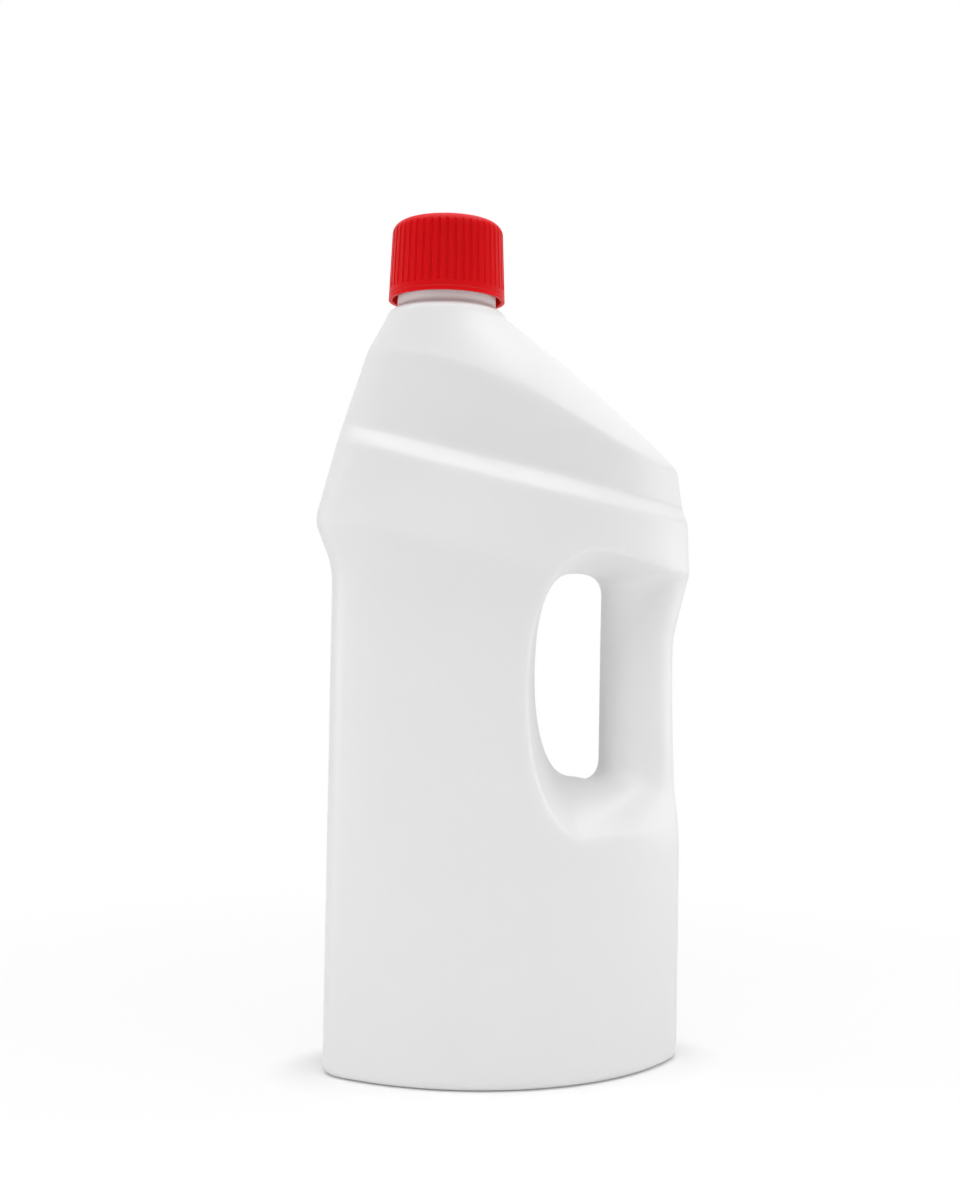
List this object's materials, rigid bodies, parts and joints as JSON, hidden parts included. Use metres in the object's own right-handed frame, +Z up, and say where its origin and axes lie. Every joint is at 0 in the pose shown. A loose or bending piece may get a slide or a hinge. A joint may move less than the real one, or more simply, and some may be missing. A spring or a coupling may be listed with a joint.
{
  "type": "detergent bottle",
  "caption": "White blow-moulded detergent bottle with a lens-shaped plan, sloping belt and roof, hollow side handle and ribbed red screw cap.",
  "frame": {"origin": "under the middle of the overall box, in the plane the bottle stands on", "axes": "+Z up the bottle, +X along its long side towards the handle, +Y across its thickness"},
  "size_m": [0.1307, 0.0714, 0.2816],
  "materials": {
    "bottle_plastic": "satin white blow-moulded polyethylene",
    "cap_plastic": "satin red moulded polypropylene",
    "liner_foam": "matt off-white foamed sheet"
  },
  "bodies": {
    "bottle": {"bottle": "bottle_plastic"},
    "seal": {"cap_liner": "liner_foam"},
    "cap": {"cap": "cap_plastic"}
  },
  "joints": [
    {"name": "cap_rise", "type": "slide", "parent": "bottle", "child": "seal", "axis": [0, 0, 1], "range_m": [0, 0.0063]},
    {"name": "cap_turn", "type": "hinge", "parent": "seal", "child": "cap", "pos_m": [-0.0228, 0, 0.2556], "axis": [0, 0, 1], "range_deg": [0, 540]}
  ],
  "couplings": [
    {"joint": "cap_rise", "follows": "cap_turn", "m_per_rad": 0.0006684}
  ]
}
